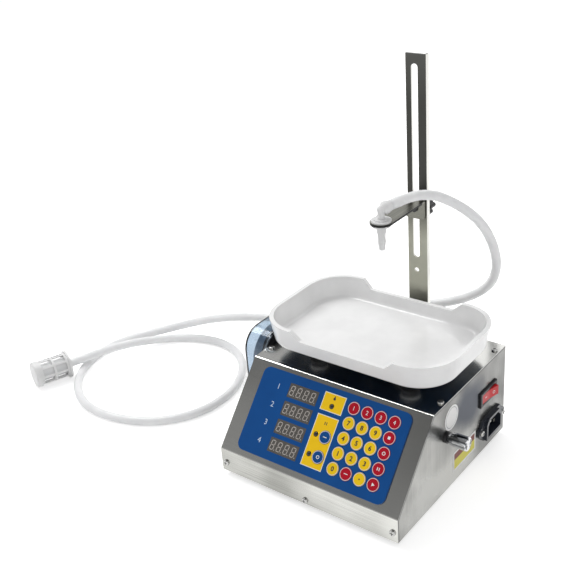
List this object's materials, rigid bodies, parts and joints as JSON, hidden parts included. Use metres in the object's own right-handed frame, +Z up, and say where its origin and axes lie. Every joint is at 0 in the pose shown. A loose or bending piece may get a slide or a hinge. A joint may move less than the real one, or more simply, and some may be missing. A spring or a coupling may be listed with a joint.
{
  "type": "peristaltic liquid filler",
  "caption": "Benchtop weighing filler with sloped keypad, tube pump on its side, white weighing pan and a nozzle arm on a slotted column.",
  "frame": {"origin": "middle of the machine's footprint on the floor, its tubes and strainer left out", "axes": "+Z up, +X to the operator's right, +Y from the keypad towards the column"},
  "size_m": [0.4893, 0.2589, 0.3485],
  "materials": {
    "case_steel": "brushed stainless sheet",
    "column_steel": "brushed stainless bar",
    "screw_steel": "bright plated screws",
    "foot_rubber": "black rubber",
    "film_blue": "blue keypad film",
    "window_grey": "dark display window",
    "key_yellow": "yellow embossed key",
    "key_red": "red embossed key",
    "key_blue": "blue embossed key",
    "board_green": "circuit board",
    "cell_aluminium": "machined aluminium",
    "pan_white": "white moulded plastic",
    "motor_metal": "motor casing",
    "black_plastic": "black plastic",
    "cover_blue": "clear blue plastic",
    "rotor_grey": "dark grey plastic",
    "roller_white": "white plastic",
    "silicone": "milky silicone tube",
    "fitting_white": "white plastic",
    "rocker_red": "red rocker",
    "pin_metal": "contact pins",
    "knob_chrome": "polished metal knob",
    "supply_metal": "supply casing",
    "screen_grey": "fine wire screen"
  },
  "bodies": {
    "case": {"base_tray": "case_steel", "main_cover": "case_steel", "rear_panel": "case_steel", "rubber_feet": "foot_rubber", "panel_screws": "screw_steel", "keypad_overlay": "film_blue", "display_windows": "window_grey", "control_board": "board_green", "load_cell": "cell_aluminium", "load_cell_mount": "cell_aluminium", "pump_motor": "motor_metal", "pump_base": "black_plastic", "pump_tube": "silicone", "column": "column_steel", "switch_bezel": "black_plastic", "inlet_socket": "black_plastic", "inlet_pins": "pin_metal", "speed_control": "black_plastic", "power_supply": "supply_metal", "inlet_tube": "silicone", "outlet_tube": "silicone", "strainer_cage": "fitting_white", "strainer_cap": "fitting_white", "strainer_screen": "screen_grey"},
    "pan_carrier": {"pan_support": "cell_aluminium", "pan_pads": "foot_rubber"},
    "pan": {"weighing_pan": "pan_white"},
    "head_cover": {"pump_cover": "cover_blue"},
    "rotor": {"pump_rotor": "rotor_grey"},
    "arm": {"arm_bracket": "column_steel", "nozzle_elbow": "fitting_white", "nozzle_spout": "fitting_white"},
    "knob": {"clamp_knob": "black_plastic"},
    "rocker": {"switch_rocker": "rocker_red"},
    "speed_dial": {"speed_knob": "knob_chrome"},
    "pump_roller_1": {"pump_roller_1": "roller_white"},
    "pump_roller_2": {"pump_roller_2": "roller_white"},
    "pump_roller_3": {"pump_roller_3": "roller_white"},
    "digit_key_0": {"digit_key_0": "key_yellow"},
    "digit_key_1": {"digit_key_1": "key_yellow"},
    "digit_key_2": {"digit_key_2": "key_yellow"},
    "digit_key_3": {"digit_key_3": "key_yellow"},
    "digit_key_4": {"digit_key_4": "key_yellow"},
    "digit_key_5": {"digit_key_5": "key_yellow"},
    "digit_key_6": {"digit_key_6": "key_yellow"},
    "digit_key_7": {"digit_key_7": "key_yellow"},
    "digit_key_8": {"digit_key_8": "key_yellow"},
    "digit_key_9": {"digit_key_9": "key_yellow"},
    "point_key": {"point_key": "key_yellow"},
    "memory_key_1": {"memory_key_1": "key_red"},
    "memory_key_2": {"memory_key_2": "key_red"},
    "memory_key_3": {"memory_key_3": "key_red"},
    "memory_key_4": {"memory_key_4": "key_red"},
    "function_key_1": {"function_key_1": "key_red"},
    "function_key_2": {"function_key_2": "key_red"},
    "function_key_3": {"function_key_3": "key_red"},
    "function_key_4": {"function_key_4": "key_red"},
    "function_key_5": {"function_key_5": "key_red"},
    "manual_key": {"manual_key": "key_blue"},
    "auto_key": {"auto_key": "key_blue"}
  },
  "joints": [
    {"name": "pan_settle", "type": "slide", "parent": "case", "child": "pan_carrier", "axis": [0, 0, -1], "range_m": [0, 0.0003], "stiffness_N_per_m": 20000, "springref_m": -0.00015, "deforming": ["load_cell"]},
    {"name": "pan_lift", "type": "slide", "parent": "pan_carrier", "child": "pan", "axis": [0, 0, 1], "range_m": [0, 0.06]},
    {"name": "cover_pull", "type": "slide", "parent": "case", "child": "head_cover", "axis": [-1, 0, 0], "range_m": [0, 0.04]},
    {"name": "rotor_spin", "type": "hinge", "parent": "case", "child": "rotor", "pos_m": [-0.103, 0.00425, 0.071], "axis": [1, 0, 0], "continuous": true},
    {"name": "arm_height", "type": "slide", "parent": "case", "child": "arm", "axis": [0, 0, 1], "range_m": [-0.044, 0.125], "deforming": ["outlet_tube"]},
    {"name": "clamp_turn", "type": "hinge", "parent": "arm", "child": "knob", "pos_m": [0.0044, 0.09425, 0.21], "axis": [0, 1, 0], "range_deg": [0, 360]},
    {"name": "switch_tip", "type": "hinge", "parent": "case", "child": "rocker", "pos_m": [0.094, 0.05325, 0.062], "axis": [0, 0, 1], "range_deg": [0, 18]},
    {"name": "speed_turn", "type": "hinge", "parent": "case", "child": "speed_dial", "pos_m": [0.1025, -0.02075, 0.06], "axis": [1, 0, 0], "range_deg": [-150, 150]},
    {"name": "pump_roller_1_spin", "type": "hinge", "parent": "rotor", "child": "pump_roller_1", "pos_m": [-0.103, -0.00975, 0.071], "axis": [1, 0, 0], "continuous": true},
    {"name": "pump_roller_2_spin", "type": "hinge", "parent": "rotor", "child": "pump_roller_2", "pos_m": [-0.103, 0.01125, 0.05888], "axis": [1, 0, 0], "continuous": true},
    {"name": "pump_roller_3_spin", "type": "hinge", "parent": "rotor", "child": "pump_roller_3", "pos_m": [-0.103, 0.01125, 0.08312], "axis": [1, 0, 0], "continuous": true},
    {"name": "digit_key_0_press", "type": "slide", "parent": "case", "child": "digit_key_0", "axis": [0, 0.7483, -0.6633], "range_m": [0, 0.0004], "stiffness_N_per_m": 1000, "springref_m": -0.0002},
    {"name": "digit_key_1_press", "type": "slide", "parent": "case", "child": "digit_key_1", "axis": [0, 0.7483, -0.6633], "range_m": [0, 0.0004], "stiffness_N_per_m": 1000, "springref_m": -0.0002},
    {"name": "digit_key_2_press", "type": "slide", "parent": "case", "child": "digit_key_2", "axis": [0, 0.7483, -0.6633], "range_m": [0, 0.0004], "stiffness_N_per_m": 1000, "springref_m": -0.0002},
    {"name": "digit_key_3_press", "type": "slide", "parent": "case", "child": "digit_key_3", "axis": [0, 0.7483, -0.6633], "range_m": [0, 0.0004], "stiffness_N_per_m": 1000, "springref_m": -0.0002},
    {"name": "digit_key_4_press", "type": "slide", "parent": "case", "child": "digit_key_4", "axis": [0, 0.7483, -0.6633], "range_m": [0, 0.0004], "stiffness_N_per_m": 1000, "springref_m": -0.0002},
    {"name": "digit_key_5_press", "type": "slide", "parent": "case", "child": "digit_key_5", "axis": [0, 0.7483, -0.6633], "range_m": [0, 0.0004], "stiffness_N_per_m": 1000, "springref_m": -0.0002},
    {"name": "digit_key_6_press", "type": "slide", "parent": "case", "child": "digit_key_6", "axis": [0, 0.7483, -0.6633], "range_m": [0, 0.0004], "stiffness_N_per_m": 1000, "springref_m": -0.0002},
    {"name": "digit_key_7_press", "type": "slide", "parent": "case", "child": "digit_key_7", "axis": [0, 0.7483, -0.6633], "range_m": [0, 0.0004], "stiffness_N_per_m": 1000, "springref_m": -0.0002},
    {"name": "digit_key_8_press", "type": "slide", "parent": "case", "child": "digit_key_8", "axis": [0, 0.7483, -0.6633], "range_m": [0, 0.0004], "stiffness_N_per_m": 1000, "springref_m": -0.0002},
    {"name": "digit_key_9_press", "type": "slide", "parent": "case", "child": "digit_key_9", "axis": [0, 0.7483, -0.6633], "range_m": [0, 0.0004], "stiffness_N_per_m": 1000, "springref_m": -0.0002},
    {"name": "point_key_press", "type": "slide", "parent": "case", "child": "point_key", "axis": [0, 0.7483, -0.6633], "range_m": [0, 0.0004], "stiffness_N_per_m": 1000, "springref_m": -0.0002},
    {"name": "memory_key_1_press", "type": "slide", "parent": "case", "child": "memory_key_1", "axis": [0, 0.7483, -0.6633], "range_m": [0, 0.0004], "stiffness_N_per_m": 1000, "springref_m": -0.0002},
    {"name": "memory_key_2_press", "type": "slide", "parent": "case", "child": "memory_key_2", "axis": [0, 0.7483, -0.6633], "range_m": [0, 0.0004], "stiffness_N_per_m": 1000, "springref_m": -0.0002},
    {"name": "memory_key_3_press", "type": "slide", "parent": "case", "child": "memory_key_3", "axis": [0, 0.7483, -0.6633], "range_m": [0, 0.0004], "stiffness_N_per_m": 1000, "springref_m": -0.0002},
    {"name": "memory_key_4_press", "type": "slide", "parent": "case", "child": "memory_key_4", "axis": [0, 0.7483, -0.6633], "range_m": [0, 0.0004], "stiffness_N_per_m": 1000, "springref_m": -0.0002},
    {"name": "function_key_1_press", "type": "slide", "parent": "case", "child": "function_key_1", "axis": [0, 0.7483, -0.6633], "range_m": [0, 0.0004], "stiffness_N_per_m": 1000, "springref_m": -0.0002},
    {"name": "function_key_2_press", "type": "slide", "parent": "case", "child": "function_key_2", "axis": [0, 0.7483, -0.6633], "range_m": [0, 0.0004], "stiffness_N_per_m": 1000, "springref_m": -0.0002},
    {"name": "function_key_3_press", "type": "slide", "parent": "case", "child": "function_key_3", "axis": [0, 0.7483, -0.6633], "range_m": [0, 0.0004], "stiffness_N_per_m": 1000, "springref_m": -0.0002},
    {"name": "function_key_4_press", "type": "slide", "parent": "case", "child": "function_key_4", "axis": [0, 0.7483, -0.6633], "range_m": [0, 0.0004], "stiffness_N_per_m": 1000, "springref_m": -0.0002},
    {"name": "function_key_5_press", "type": "slide", "parent": "case", "child": "function_key_5", "axis": [0, 0.7483, -0.6633], "range_m": [0, 0.0004], "stiffness_N_per_m": 1000, "springref_m": -0.0002},
    {"name": "manual_key_press", "type": "slide", "parent": "case", "child": "manual_key", "axis": [0, 0.7483, -0.6633], "range_m": [0, 0.0004], "stiffness_N_per_m": 1000, "springref_m": -0.0002},
    {"name": "auto_key_press", "type": "slide", "parent": "case", "child": "auto_key", "axis": [0, 0.7483, -0.6633], "range_m": [0, 0.0004], "stiffness_N_per_m": 1000, "springref_m": -0.0002}
  ],
  "couplings": [
    {"joint": "pump_roller_1_spin", "follows": "rotor_spin", "ratio": -3.5455},
    {"joint": "pump_roller_2_spin", "follows": "rotor_spin", "ratio": -3.5455},
    {"joint": "pump_roller_3_spin", "follows": "rotor_spin", "ratio": -3.5455}
  ]
}
